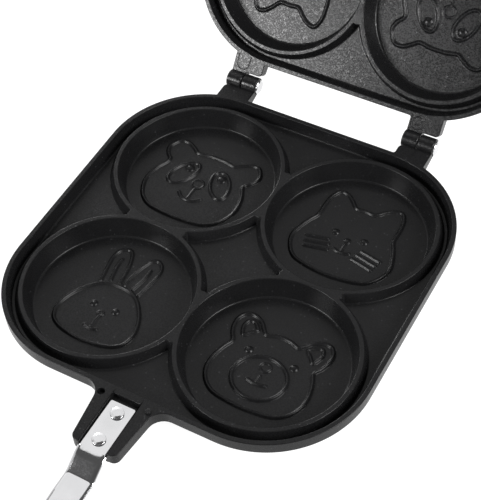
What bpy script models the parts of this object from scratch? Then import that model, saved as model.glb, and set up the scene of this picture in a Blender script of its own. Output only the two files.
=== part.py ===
# A hinged four-cup pancake pan, standing open: a lower casting flat on the table and an
# equal one leaning back on two hinges. Both carry a riveted steel shank and a moulded grip,
# and a wire bail on the lower grip locks the two grips together when the pan is shut. The
# lower cups' floors are thicker, which keeps the open pan standing on them.
#
# Lengths are in metres and angles in degrees. Every piece of a half is drawn in that half's
# own frame: X across, Y from the handle to the hinge, Z = 0 at the top of the rim, and the
# origin in the middle of its four cups. The lid is the same set of pieces turned over.

import math

import bmesh
import bpy
from mathutils import Matrix, Vector

# Cups
CUP_MOUTH_RADIUS = 0.0480
CUP_SPACING = 0.0024
CUP_FLOOR_RADIUS = 0.0446
CUP_DEPTH = 0.0124
RIDGE_DROP = 0.0021
CUP_FLOOR_FILLET = 0.0030
LOWER_FLOOR_WALL = 0.0032
LID_FLOOR_WALL = 0.0020
CUP_SIDE_WALL = 0.0025
CUP_FOOT_FILLET = 0.0015
RIDGE_WIDTH = 0.0025
RIDGE_SPREAD = 0.0024

# Tray round the cups
SKIRT_HEIGHT = 0.0078
WEB_DEPTH = 0.0079
WEB_THICKNESS = 0.0025
FLOOR_INSET = 0.0012
FLOOR_SLOPE = 0.0022
CORNER_MARGIN = 0.0115
RIM_WIDTH = 0.0027
RIM_SLOPE = 0.0018
JUNCTION_HALF_LENGTH = 0.0189
JUNCTION_HALF_WIDTH = 0.0030

# Hinges
LAND_CLEARANCE = 0.00015
HINGE_BACK = 0.0135
HINGE_SPREAD = 0.0590
HINGE_LENGTH = 0.0200
HINGE_GAP = 0.0006
KNUCKLE_RADIUS = 0.0050
LUG_BACK = 0.0060
PIN_RADIUS = 0.0020
PIN_CLEARANCE = 0.0003
OPEN_ANGLE = 127.5

# Tongue that carries the handle
TONGUE_LENGTH = 0.0343
TONGUE_ROOT_HALF = 0.0172
TONGUE_TIP_HALF = 0.0134
TONGUE_NECK_RADIUS = 0.0090
TONGUE_TIP_RADIUS = 0.0040
SLOT_SIDE_CLEARANCE = 0.0005
SLOT_SETBACK = 0.0014
PEG_SPREAD = 0.0142
PEG_REACH = 0.0037
PEG_RADIUS = 0.0018
PEG_HEIGHT = 0.0014
PEG_CLEARANCE = 0.0003
PEG_HOLE_DEPTH = 0.0026

# Steel shank: a narrow tab in the tongue's slot, and wider shoulders in front of the tongue
SHANK_TAB_WIDTH = 0.0154
SHANK_WIDTH = 0.0174
SHANK_THICKNESS = 0.0016
SHANK_SINK = 0.0015
SHANK_START_GAP = 0.0035
SHANK_BROW_OUT = 0.0024
SHANK_SHOULDER_SHARES = (0.12, 0.38)
SHANK_DROP = 0.0065
SHANK_DROP_RUN = 0.0112
SHANK_LEDGE = 0.0115
SHANK_DIP = 0.0006
SHANK_DIP_RUN = 0.0080
SHANK_BEND_RADIUS = 0.0040
TANG_END_WALL = 0.0260

# Rivets
RIVET_RADIUS = 0.0020
RIVET_HEAD_RADIUS = 0.0037
RIVET_HEAD_HEIGHT = 0.0012
RIVET_TAIL_HEIGHT = 0.0014
RIVET_SHARES = (0.318, 0.822)

# Grip
GRIP_LEAD = 0.0081
GRIP_LENGTH = 0.1180
GRIP_HALF_WIDTH = 0.0150
GRIP_DEPTH = 0.0144
GRIP_FACE_CLEARANCE = 0.0002
GRIP_ROUNDING = 0.0075
GRIP_FACE_ROUNDING = 0.0008
GRIP_OUTLINE_SHARES = (
    (0.00, 0.62), (0.00, 0.76), (0.04, 0.84), (0.16, 0.87), (0.36, 1.00), (0.58, 0.98),
    (0.78, 0.92), (0.92, 0.96), (0.97, 0.86), (1.00, 0.60),
)

# Grip screws and the threaded inserts that they bite in
SCREW_RADIUS = 0.0019
SCREW_HEAD_RADIUS = 0.0038
SCREW_HEAD_HEIGHT = 0.0021
SCREW_SINK = 0.0006
SCREW_SHARES = (0.20, 0.66)
SCREW_REACH = 0.0118
DRIVE_SLOT_WIDTH = 0.0010
DRIVE_SLOT_DEPTH = 0.0008
INSERT_WALL = 0.0012
INSERT_LENGTH = 0.0025

# Wire bail of the lock
BAIL_WIRE_RADIUS = 0.0014
BAIL_PIVOT_INSET = 0.0100
BAIL_ENTRY = 0.0045
BAIL_CORNER_RADIUS = 0.0040
BAIL_SHOULDER_LENGTH = 0.0050
BAIL_SHOULDER_HEIGHT = 0.0030

# Fits
GAP = 0.0003
OVERRUN = 0.0010
FLAT_TURN = 0.005

# Roundness of the turned and bent pieces
CUP_STEPS = 48
HOLE_STEPS = 20
CORNER_STEPS = 12
FILLET_STEPS = 2
BEND_STEPS = 3

# Sizes that follow
HALF_PITCH = CUP_MOUTH_RADIUS + CUP_SPACING / 2
CORNER_RADIUS = CUP_MOUTH_RADIUS + CORNER_MARGIN
PLATE_HALF = HALF_PITCH + CORNER_RADIUS
HINGE_Y = PLATE_HALF + HINGE_BACK
CUP_FLOOR = -RIDGE_DROP - CUP_DEPTH
REST_HEIGHT = LOWER_FLOOR_WALL - CUP_FLOOR + LAND_CLEARANCE
CUP_CENTRES = [(x * HALF_PITCH, y * HALF_PITCH) for y in (1, -1) for x in (-1, 1)]
INSIDE_WEB = -WEB_DEPTH - WEB_THICKNESS / 2
TONGUE_TIP_Y = -PLATE_HALF - TONGUE_LENGTH
SLOT_HALF_WIDTH = SHANK_TAB_WIDTH / 2 + SLOT_SIDE_CLEARANCE
SLOT_END_Y = -PLATE_HALF - SLOT_SETBACK
SLOT_FLOOR = -SHANK_SINK - SHANK_THICKNESS - GAP
SHANK_BROW_Y = TONGUE_TIP_Y - SHANK_BROW_OUT
GRIP_FRONT_Y = SHANK_BROW_Y - SHANK_DROP_RUN - SHANK_LEDGE - SHANK_DIP_RUN - GRIP_LEAD
GRIP_END_Y = GRIP_FRONT_Y - GRIP_LENGTH
TANG_TOP = -SHANK_SINK - SHANK_DROP - SHANK_DIP
TANG_MIDDLE = TANG_TOP - SHANK_THICKNESS / 2
TANG_END_Y = GRIP_END_Y + TANG_END_WALL
BAIL_Y = GRIP_END_Y + BAIL_PIVOT_INSET
BAIL_REACH = GRIP_DEPTH - TANG_MIDDLE + LAND_CLEARANCE * 2 + BAIL_WIRE_RADIUS + GAP
RIVET_YS = [-PLATE_HALF - share * TONGUE_LENGTH for share in RIVET_SHARES]
SCREW_YS = [GRIP_FRONT_Y - share * GRIP_LENGTH for share in SCREW_SHARES]

BLACK_COAT = (0.022, 0.022, 0.023, 1.0)
BRIGHT_STEEL = (0.72, 0.72, 0.73, 1.0)
GRIP_BLACK = (0.012, 0.012, 0.013, 1.0)
INSERT_BRASS = (0.62, 0.45, 0.18, 1.0)


# Scene and small helpers

def clear_scene():
    for item in list(bpy.data.objects):
        bpy.data.objects.remove(item, do_unlink=True)


def new_collection(name):
    group = bpy.data.collections.new(name)
    bpy.context.scene.collection.children.link(group)
    return group


def new_material(name, colour, roughness, metallic):
    finish = bpy.data.materials.new(name)
    finish.use_nodes = True
    surface = finish.node_tree.nodes["Principled BSDF"]
    surface.inputs["Base Color"].default_value = colour
    surface.inputs["Roughness"].default_value = roughness
    surface.inputs["Metallic"].default_value = metallic
    return finish


def add_object(name, data):
    item = bpy.data.objects.new(name, data)
    cutters.objects.link(item)
    return item


def from_bmesh(name, bm):
    mesh = bpy.data.meshes.new(name)
    bm.to_mesh(mesh)
    bm.free()
    return add_object(name, mesh)


def facing_out(bm):
    bmesh.ops.recalc_face_normals(bm, faces=bm.faces)
    if bm.calc_volume(signed=True) < 0:
        bmesh.ops.reverse_faces(bm, faces=bm.faces)
    return bm


def evaluated_mesh(item):
    # The mesh that the object's modifiers make, in the object's own frame
    graph = bpy.context.evaluated_depsgraph_get()
    return bpy.data.meshes.new_from_object(item.evaluated_get(graph))


def welded(item):
    # Turns a curve, or an object with modifiers, into a closed plain mesh object
    bm = bmesh.new()
    bm.from_mesh(evaluated_mesh(item))
    bm.transform(item.matrix_world)
    bmesh.ops.remove_doubles(bm, verts=bm.verts, dist=GAP / 10)
    bmesh.ops.dissolve_limit(bm, angle_limit=FLAT_TURN, verts=bm.verts, edges=bm.edges)
    name = item.name
    bpy.data.objects.remove(item, do_unlink=True)
    return from_bmesh(name, facing_out(bm))


def combine(base, tool, operation):
    # Adds a live Boolean of the tool to the base
    tool.hide_render = True
    tool.display_type = "WIRE"
    cut = base.modifiers.new(tool.name, "BOOLEAN")
    cut.operation = operation
    cut.solver = "EXACT"
    cut.object = tool


def finished(base):
    # Settles the base's Booleans and removes the tools that they used
    tools = [cut.object for cut in base.modifiers if cut.type == "BOOLEAN"]
    bpy.context.view_layer.update()
    mesh = evaluated_mesh(base)
    for item in tools + [base]:
        bpy.data.objects.remove(item, do_unlink=True)
    mesh.shade_smooth()
    mesh.set_sharp_from_angle(angle=math.radians(35))
    return mesh


# Shapes

def arc(centre, radius, start, end, steps):
    # Points on an arc, from one angle to another
    points = []
    for step in range(steps + 1):
        angle = math.radians(start + (end - start) * step / steps)
        points.append((centre[0] + radius * math.cos(angle), centre[1] + radius * math.sin(angle)))
    return points


def eased(before, corner, after, radius, steps):
    # Points of a corner rounded to a radius, tangent to both of its sides
    middle = Vector(corner)
    back = (Vector(before) - middle).normalized()
    on = (Vector(after) - middle).normalized()
    half = back.angle(on) / 2
    run = radius / math.tan(half)
    centre = middle + (back + on).normalized() * (radius / math.sin(half))
    first = middle + back * run - centre
    last = middle + on * run - centre
    points = []
    for step in range(steps + 1):
        share = step / steps
        points.append(tuple(centre + turned_between(first, last, share)))
    return points


def turned_between(first, last, share):
    # Turns a flat vector part of the way to another one
    angle = first.angle_signed(last) * -share
    return Matrix.Rotation(angle, 2) @ first


def mirrored(points):
    return [(-x, y) for x, y in points]


def rounded_square(half, radius):
    centre = half - radius
    points = []
    for quarter, (x, y) in enumerate(((1, 1), (-1, 1), (-1, -1), (1, -1))):
        start = 90 * quarter
        points += arc((x * centre, y * centre), radius, start, start + 90, CORNER_STEPS)
    return points


def frustum(name, low_outline, low, high_outline, high):
    # A closed solid between two outlines with equal point counts
    bm = bmesh.new()
    bottom = [bm.verts.new((x, y, low)) for x, y in low_outline]
    bm.faces.new(bottom)
    top = bmesh.ops.extrude_face_region(bm, geom=bm.faces[:])["geom"]
    raised = [vert for vert in top if isinstance(vert, bmesh.types.BMVert)]
    for vert in raised:
        nearest = min(range(len(bottom)), key=lambda index: (bottom[index].co - vert.co).length)
        vert.co = Vector((*high_outline[nearest], high))
    return from_bmesh(name, facing_out(bm))


def prism(name, outline, low, high):
    return frustum(name, outline, low, outline, high)


def block(name, low, high):
    bm = bmesh.new()
    bmesh.ops.create_cube(bm, size=1)
    middle = (Vector(low) + Vector(high)) / 2
    spans = Vector(high) - Vector(low)
    bmesh.ops.scale(bm, vec=spans, verts=bm.verts)
    bmesh.ops.translate(bm, vec=middle, verts=bm.verts)
    return from_bmesh(name, facing_out(bm))


def rod(name, start, end, radius, end_radius=None, steps=HOLE_STEPS):
    # A cylinder or cone from one point to another
    run = Vector(end) - Vector(start)
    bm = bmesh.new()
    bmesh.ops.create_cone(
        bm, cap_ends=True, segments=steps, radius1=radius, depth=run.length,
        radius2=radius if end_radius is None else end_radius)
    aim = run.to_track_quat("Z", "Y").to_matrix().to_4x4()
    bm.transform(Matrix.Translation((Vector(start) + Vector(end)) / 2) @ aim)
    return from_bmesh(name, facing_out(bm))


def joined(name, items):
    # One object that holds several separate bodies
    bm = bmesh.new()
    for item in items:
        bm.from_mesh(item.data)
        bpy.data.objects.remove(item, do_unlink=True)
    return from_bmesh(name, bm)


def turned(name, profile, centres, steps=CUP_STEPS):
    # A profile of (radius, height) points turned round each centre
    bodies = []
    for x, y in centres:
        bm = bmesh.new()
        verts = [bm.verts.new((radius, 0, height)) for radius, height in profile]
        for first, second in zip(verts, verts[1:]):
            bm.edges.new((first, second))
        mesh = bpy.data.meshes.new(name)
        bm.to_mesh(mesh)
        bm.free()
        body = add_object(name, mesh)
        screw = body.modifiers.new("turn", "SCREW")
        screw.steps = steps
        screw.render_steps = steps
        screw.use_merge_vertices = True
        screw.merge_threshold = 0.0001
        bpy.context.view_layer.update()
        body = welded(body)
        body.data.transform(Matrix.Translation((x, y, 0)))
        bodies.append(body)
    return joined(name, bodies)


# Casting

def cup_wall_radius(depth):
    # The depth is measured from the top of the cup's ridge
    return CUP_MOUTH_RADIUS - (CUP_MOUTH_RADIUS - CUP_FLOOR_RADIUS) * depth / CUP_DEPTH


def cup_cavities():
    above = (cup_wall_radius(-OVERRUN), OVERRUN - RIDGE_DROP)
    corner = (CUP_FLOOR_RADIUS, CUP_FLOOR)
    middle = (0, CUP_FLOOR)
    profile = [(0, above[1]), above]
    profile += eased(above, corner, middle, CUP_FLOOR_FILLET, FILLET_STEPS)
    return turned("cup_cavities", profile + [middle], CUP_CENTRES)


def cup_bodies(name, centres, floor_wall):
    # The ridge's outer side spreads down to the web; below the web the wall follows the cup
    below_ridge = -RIDGE_DROP - INSIDE_WEB
    ridge = CUP_MOUTH_RADIUS + RIDGE_WIDTH
    spread = ridge + RIDGE_SPREAD * below_ridge / (WEB_DEPTH - RIDGE_DROP)
    floor = CUP_FLOOR - floor_wall
    under = (cup_wall_radius(below_ridge) + CUP_SIDE_WALL, INSIDE_WEB)
    foot = (CUP_FLOOR_RADIUS + CUP_SIDE_WALL - GAP, floor)
    profile = [(0, -RIDGE_DROP), (ridge, -RIDGE_DROP), (spread, INSIDE_WEB), under]
    profile += eased(under, foot, (0, floor), CUP_FOOT_FILLET, FILLET_STEPS)
    return turned(name, profile + [(0, floor)], centres)


def junctions():
    # Where two cups' ridges meet they run into one flat land
    half_long = JUNCTION_HALF_LENGTH
    half_wide = JUNCTION_HALF_WIDTH
    low = INSIDE_WEB
    high = -RIDGE_DROP
    blocks = []
    for side in (-1, 1):
        place = side * HALF_PITCH
        blocks.append(block("junction", (-half_wide, place - half_long, low), (half_wide, place + half_long, high)))
        blocks.append(block("junction", (place - half_long, -half_wide, low), (place + half_long, half_wide, high)))
    return joined("junctions", blocks)


def plate_outline():
    # Round the casting from its right side: hinge lugs behind, handle tongue in front
    half = HINGE_LENGTH / 2
    turn = math.degrees(math.acos((HINGE_SPREAD + half - HALF_PITCH) / CORNER_RADIUS))
    points = arc((HALF_PITCH, HALF_PITCH), CORNER_RADIUS, 0, turn, CORNER_STEPS)
    points += lug_outline(HINGE_SPREAD) + lug_outline(-HINGE_SPREAD)
    points += arc((-HALF_PITCH, HALF_PITCH), CORNER_RADIUS, 180 - turn, 180, CORNER_STEPS)
    points += arc((-HALF_PITCH, -HALF_PITCH), CORNER_RADIUS, 180, 270, CORNER_STEPS)
    points += tongue_outline()
    return points + arc((HALF_PITCH, -HALF_PITCH), CORNER_RADIUS, 270, 360, CORNER_STEPS)


def lug_outline(middle):
    # Long on its right, up to the hinge, and short on its left, clear of the other half
    left = middle - HINGE_LENGTH / 2
    right = middle + HINGE_LENGTH / 2
    split = middle + HINGE_GAP / 2
    short_end = PLATE_HALF + LUG_BACK
    points = [(right, HINGE_Y), (split, HINGE_Y), (split, short_end), (left, short_end)]
    # The inner side of each lug meets the straight back edge, the outer side its corner arc
    if middle > 0:
        return points + [(left, PLATE_HALF)]
    return [(right, PLATE_HALF)] + points


def lug_slopes():
    # Cuts the lugs' undersides up to the knuckles
    start = PLATE_HALF + LUG_BACK / 2
    low = -SKIRT_HEIGHT
    outline = ((start, low - OVERRUN), (start, low), (HINGE_Y, LAND_CLEARANCE - KNUCKLE_RADIUS + GAP),
               (HINGE_Y + OVERRUN, LAND_CLEARANCE - KNUCKLE_RADIUS + GAP), (HINGE_Y + OVERRUN, low - OVERRUN))
    reach = HINGE_SPREAD + HINGE_LENGTH
    wedge = prism("lug_slopes", outline, -reach, reach)
    wedge.data.transform(Matrix(((0, 0, 1, 0), (1, 0, 0, 0), (0, 1, 0, 0), (0, 0, 0, 1))))
    return wedge


def hollows():
    # The pocket between the rim and the cups, the shank's slot and the bores for the pins
    bores = knuckles("pin_bores", PIN_RADIUS + PIN_CLEARANCE, OVERRUN)
    return joined("hollows", [pocket(), slot(), bores])


def pocket():
    # Sloped like the rim's inner side
    top_inset = RIM_WIDTH - RIM_SLOPE * OVERRUN / WEB_DEPTH
    low_inset = RIM_WIDTH + RIM_SLOPE
    low = rounded_square(PLATE_HALF - low_inset, CORNER_RADIUS - low_inset)
    top = rounded_square(PLATE_HALF - top_inset, CORNER_RADIUS - top_inset)
    return frustum("pocket", low, -WEB_DEPTH, top, OVERRUN)


def tray_floor():
    # The web's underside hangs below the skirt, inside it, and slopes in towards its own foot
    top_half = PLATE_HALF - FLOOR_INSET
    low_half = top_half - FLOOR_SLOPE
    low = rounded_square(low_half, CORNER_RADIUS - PLATE_HALF + low_half)
    top = rounded_square(top_half, CORNER_RADIUS - PLATE_HALF + top_half)
    return frustum("tray_floor", low, -WEB_DEPTH - WEB_THICKNESS, top, OVERRUN - SKIRT_HEIGHT)


def knuckle_span(side):
    start = side * HINGE_SPREAD + HINGE_GAP / 2
    return start, side * HINGE_SPREAD + HINGE_LENGTH / 2


def knuckles(name, radius, longer):
    bodies = []
    for side in (-1, 1):
        left, right = knuckle_span(side)
        ends = [(x, HINGE_Y, LAND_CLEARANCE) for x in (left - longer, right + longer)]
        bodies.append(rod("knuckle", ends[0], ends[1], radius))
    return joined(name, bodies)


def tongue_outline():
    # From the plate's front edge out round the tip and back, left side first
    edge = -PLATE_HALF
    tip = (TONGUE_TIP_HALF, TONGUE_TIP_Y)
    inside = (TONGUE_ROOT_HALF + TONGUE_NECK_RADIUS * 2, edge)
    neck = (TONGUE_ROOT_HALF, edge)
    right = eased((0, TONGUE_TIP_Y), tip, neck, TONGUE_TIP_RADIUS, FILLET_STEPS)
    right += eased(tip, neck, inside, TONGUE_NECK_RADIUS, CORNER_STEPS // 2)
    return mirrored(reversed(right)) + right


def slot():
    low = (-SLOT_HALF_WIDTH, TONGUE_TIP_Y - OVERRUN, SLOT_FLOOR)
    return block("slot", low, (SLOT_HALF_WIDTH, SLOT_END_Y, OVERRUN))


def small_holes():
    # Rivet holes through the slot's floor and the hole that takes the other half's peg
    holes = []
    for y in RIVET_YS:
        low = (0, y, -SKIRT_HEIGHT - OVERRUN)
        holes.append(rod("rivet_hole", low, (0, y, SLOT_FLOOR + OVERRUN), RIVET_RADIUS + GAP))
    y = -PLATE_HALF - PEG_REACH
    low = (-PEG_SPREAD, y, -PEG_HOLE_DEPTH)
    holes.append(rod("peg_hole", low, (-PEG_SPREAD, y, OVERRUN), PEG_RADIUS + PEG_CLEARANCE))
    return joined("small_holes", holes)


def peg():
    y = -PLATE_HALF - PEG_REACH
    low = (PEG_SPREAD, y, -PEG_HOLE_DEPTH)
    return rod("peg", low, (PEG_SPREAD, y, PEG_HEIGHT), PEG_RADIUS, PEG_RADIUS - GAP)


def plate_mesh(floor_wall):
    # The outline comes first, then its hollows and the cups that stand in them
    steps = [
        (tray_floor(), "UNION"), (lug_slopes(), "DIFFERENCE"), (knuckles("knuckles", KNUCKLE_RADIUS, 0), "UNION"),
        (hollows(), "DIFFERENCE"), (small_holes(), "DIFFERENCE"), (peg(), "UNION"), (junctions(), "UNION"),
        (cup_bodies("cups_a", (CUP_CENTRES[0], CUP_CENTRES[3]), floor_wall), "UNION"),
        (cup_bodies("cups_b", (CUP_CENTRES[1], CUP_CENTRES[2]), floor_wall), "UNION"),
        (cup_cavities(), "DIFFERENCE"),
    ]
    plate = prism("plate", plate_outline(), -SKIRT_HEIGHT, 0)
    for tool, operation in steps:
        combine(plate, tool, operation)
    return finished(plate)


# Handle

def shank_line():
    # Side view (Y, Z) of the strap's top: flat in the slot, down to the ledge, into the grip
    start = (SLOT_END_Y - SHANK_START_GAP, -SHANK_SINK)
    brow = (SHANK_BROW_Y, start[1])
    ledge = (brow[0] - SHANK_DROP_RUN, brow[1] - SHANK_DROP)
    lip = (ledge[0] - SHANK_LEDGE, ledge[1])
    tang = (lip[0] - SHANK_DIP_RUN, TANG_TOP)
    corners = [start, brow, ledge, lip, tang, (TANG_END_Y, TANG_TOP)]
    points = [start]
    for before, corner, after in zip(corners, corners[1:], corners[2:]):
        points += eased(before, corner, after, SHANK_BEND_RADIUS, BEND_STEPS)
    return points + [corners[-1]]


def shank_sides():
    # The line with the strap's half width, which steps out just in front of the tongue
    line = shank_line()
    narrow, wide = (TONGUE_TIP_Y - share * SHANK_BROW_OUT for share in SHANK_SHOULDER_SHARES)
    tab = [(y, z, SHANK_TAB_WIDTH / 2) for y, z in (line[0], (narrow, -SHANK_SINK))]
    return tab + [(y, z, SHANK_WIDTH / 2) for y, z in [(wide, -SHANK_SINK)] + line[1:]]


def shank_mesh():
    bm = bmesh.new()
    rows = [[bm.verts.new((x, y, z)) for x in (-half, half)] for y, z, half in shank_sides()]
    for first, second in zip(rows, rows[1:]):
        bm.faces.new((first[0], second[0], second[1], first[1]))
    strap = from_bmesh("strap", bm)
    if strap.data.polygons[0].normal.z < 0:
        strap.data.flip_normals()
    wall = strap.modifiers.new("thickness", "SOLIDIFY")
    wall.thickness = SHANK_THICKNESS
    wall.offset = -1
    wall.use_even_offset = True
    strap = welded(strap)
    holes = []
    for y in RIVET_YS:
        holes.append(rod("hole", (0, y, SLOT_FLOOR), (0, y, OVERRUN), RIVET_RADIUS + GAP))
    low = TANG_TOP - SHANK_THICKNESS - OVERRUN
    for y in SCREW_YS:
        holes.append(rod("hole", (0, y, low), (0, y, TANG_TOP + OVERRUN), SCREW_RADIUS + GAP))
    combine(strap, joined("holes", holes), "DIFFERENCE")
    return finished(strap)


def rivet_mesh():
    # Drawn round the origin: the head's underside at Z = 0
    grip_through = SKIRT_HEIGHT - SHANK_SINK + GAP
    tail = -grip_through - RIVET_TAIL_HEIGHT
    crown = [(0, GAP + RIVET_HEAD_HEIGHT)]
    crown += [(RIVET_HEAD_RADIUS * 0.55, GAP + RIVET_HEAD_HEIGHT * 0.85), (RIVET_HEAD_RADIUS, GAP)]
    stem = [(RIVET_RADIUS, GAP), (RIVET_RADIUS, -grip_through)]
    foot = [(RIVET_HEAD_RADIUS, -grip_through), (RIVET_HEAD_RADIUS * 0.7, tail), (0, tail)]
    return finished(turned("rivet", crown + stem + foot, [(0, 0)], HOLE_STEPS))


def grip_outline():
    right = []
    for along, wide in GRIP_OUTLINE_SHARES:
        right.append((wide * GRIP_HALF_WIDTH, GRIP_FRONT_Y - along * GRIP_LENGTH))
    return right + mirrored(reversed(right))


def grip_body(name):
    low = -GRIP_DEPTH
    high = -GRIP_FACE_CLEARANCE
    body = prism(name, grip_outline(), low, high)
    bm = bmesh.new()
    bm.from_mesh(body.data)
    for height, width, steps in ((low, GRIP_ROUNDING, FILLET_STEPS + 1), (high, GRIP_FACE_ROUNDING, 1)):
        level = [edge for edge in bm.edges if all(abs(vert.co.z - height) < GAP / 2 for vert in edge.verts)]
        bmesh.ops.bevel(
            bm, geom=level, offset=width, segments=steps, profile=0.5, affect="EDGES",
            clamp_overlap=True)
    bpy.data.objects.remove(body, do_unlink=True)
    return from_bmesh(name, facing_out(bm))


def tang_pocket():
    half = SHANK_WIDTH / 2 + GAP
    low = (-half, TANG_END_Y - GAP, TANG_TOP - SHANK_THICKNESS - GAP)
    return block("tang_pocket", low, (half, GRIP_FRONT_Y + OVERRUN, TANG_TOP + GAP))


def screw_bores():
    # Countersink, bore and the wider hole for the insert, in one turned shape for each screw
    head = -GRIP_FACE_CLEARANCE - SCREW_SINK
    slope = (SCREW_HEAD_RADIUS - SCREW_RADIUS) / SCREW_HEAD_HEIGHT
    wide = SCREW_HEAD_RADIUS + GAP * 2 + slope * (OVERRUN - head)
    narrow = SCREW_RADIUS + GAP
    step = TANG_MIDDLE
    low = insert_span()[0] - GAP
    profile = [(0, OVERRUN), (wide, OVERRUN), (narrow, OVERRUN - (wide - narrow) / slope), (narrow, step)]
    profile += [(insert_radius() + GAP, step), (insert_radius() + GAP, low), (0, low)]
    return turned("screw_bores", profile, [(0, y) for y in SCREW_YS], HOLE_STEPS)


def insert_radius():
    return SCREW_RADIUS + GAP + INSERT_WALL


def insert_span():
    high = TANG_TOP - SHANK_THICKNESS - GAP
    return high - INSERT_LENGTH, high


def bail_leg_x():
    return GRIP_HALF_WIDTH + GAP + BAIL_WIRE_RADIUS


def bail_fittings(body):
    # Side holes for the bail's ends, and a shoulder under each leg that it comes to rest on
    holes = []
    shoulders = []
    for side in (-1, 1):
        outer = side * (bail_leg_x() + OVERRUN)
        inner = side * (bail_leg_x() - BAIL_ENTRY - GAP)
        holes.append(rod(
            "hole", (inner, BAIL_Y, TANG_MIDDLE), (outer, BAIL_Y, TANG_MIDDLE), BAIL_WIRE_RADIUS + GAP))
        top = TANG_MIDDLE - BAIL_WIRE_RADIUS - GAP
        ends = sorted((side * GRIP_HALF_WIDTH * 0.7, side * (bail_leg_x() + BAIL_WIRE_RADIUS)))
        far = BAIL_Y - BAIL_SHOULDER_LENGTH
        shoulders.append(block(
            "shoulder", (ends[0], far, top - BAIL_SHOULDER_HEIGHT), (ends[1], BAIL_Y, top)))
    combine(body, joined("shoulders", shoulders), "UNION")
    combine(body, joined("bail_holes", holes), "DIFFERENCE")


def grip_mesh(name, with_bail):
    body = grip_body(name)
    if with_bail:
        bail_fittings(body)
    combine(body, tang_pocket(), "DIFFERENCE")
    combine(body, screw_bores(), "DIFFERENCE")
    return finished(body)


def screw_mesh():
    # Drawn round the origin: the top of the head at Z = 0
    profile = [(0, 0), (SCREW_HEAD_RADIUS, 0), (SCREW_RADIUS, -SCREW_HEAD_HEIGHT)]
    profile += [(SCREW_RADIUS, -SCREW_REACH), (0, -SCREW_REACH)]
    body = turned("screw", profile, [(0, 0)], HOLE_STEPS)
    half = DRIVE_SLOT_WIDTH / 2
    wide = SCREW_HEAD_RADIUS + OVERRUN
    combine(body, block("drive", (-wide, -half, -DRIVE_SLOT_DEPTH), (wide, half, OVERRUN)), "DIFFERENCE")
    return finished(body)


def insert_mesh():
    # Drawn round the origin: the top of the insert at Z = 0
    body = rod("insert", (0, 0, -INSERT_LENGTH), (0, 0, 0), insert_radius())
    bore = rod("bore", (0, 0, -INSERT_LENGTH - OVERRUN), (0, 0, OVERRUN), SCREW_RADIUS + GAP)
    combine(body, bore, "DIFFERENCE")
    return finished(body)


def pin_mesh():
    # Drawn round the origin along X, a little shorter than the two knuckles
    half = HINGE_LENGTH / 2
    return finished(rod("pin", (-half, 0, 0), (half, 0, 0), PIN_RADIUS))


def bail_mesh():
    # Drawn round its pivot: ends turned into the grip, legs out past its end, a cross bar
    leg = bail_leg_x()
    tip = leg - BAIL_ENTRY
    corners = [(-tip, 0), (-leg, 0), (-leg, -BAIL_REACH), (leg, -BAIL_REACH), (leg, 0), (tip, 0)]
    bends = (BAIL_WIRE_RADIUS * 1.5, BAIL_CORNER_RADIUS, BAIL_CORNER_RADIUS, BAIL_WIRE_RADIUS * 1.5)
    points = [corners[0]]
    for before, corner, after, radius in zip(corners, corners[1:], corners[2:], bends):
        points += eased(before, corner, after, radius, FILLET_STEPS + 1)
    points.append(corners[-1])
    curve = bpy.data.curves.new("bail", "CURVE")
    curve.dimensions = "3D"
    curve.bevel_depth = BAIL_WIRE_RADIUS
    curve.bevel_resolution = 2
    curve.use_fill_caps = True
    spline = curve.splines.new("POLY")
    spline.points.add(len(points) - 1)
    for knot, place in zip(spline.points, points):
        knot.co = (*place, 0, 1)
    item = add_object("bail", curve)
    bpy.context.view_layer.update()
    return finished(welded(item))


# Assembly

def new_frame(name, location, turn=None, parent=None):
    empty = bpy.data.objects.new(name, None)
    pan.objects.link(empty)
    empty.parent = parent
    empty.location = location
    if turn is not None:
        empty.rotation_euler = turn
    return empty


def place_part(name, mesh, finish, frame, location):
    part = bpy.data.objects.new(name, mesh)
    pan.objects.link(part)
    part.parent = frame
    part.location = location
    if not mesh.materials:
        mesh.materials.append(finish)
    return part


def place_half(half, frame, origin, meshes, plate, grip):
    # The pieces of a half: its casting and grip are its own, the others are alike in both
    def at(x, y, z):
        return Vector(origin) + Vector((x, y, z))

    place_part(half + "_plate", plate, black_coat, frame, at(0, 0, 0))
    place_part(half + "_shank", meshes["shank"], steel, frame, at(0, 0, 0))
    for number, y in zip(("inner", "outer"), RIVET_YS):
        place_part(half + "_rivet_" + number, meshes["rivet"], steel, frame, at(0, y, -SHANK_SINK))
    place_part(half + "_grip", grip, grip_black, frame, at(0, 0, 0))
    for number, y in zip(("front", "rear"), SCREW_YS):
        head = -GRIP_FACE_CLEARANCE - SCREW_SINK
        place_part(half + "_screw_" + number, meshes["screw"], steel, frame, at(0, y, head))
        place_part(half + "_insert_" + number, meshes["insert"], brass, frame, at(0, y, insert_span()[1]))


def lid_reach(grip):
    # How far behind the lower plate's middle the leaning lid's grip comes
    lean = math.radians(OPEN_ANGLE - 90)
    reaches = []
    for vert in grip.vertices:
        along = HINGE_Y - vert.co.y
        out = LAND_CLEARANCE - vert.co.z
        reaches.append(HINGE_Y + along * math.sin(lean) + out * math.cos(lean))
    return max(reaches)


def bail_reach():
    # How far in front of the lower plate's middle the bail's cross bar comes
    return BAIL_REACH + BAIL_WIRE_RADIUS - BAIL_Y


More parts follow.
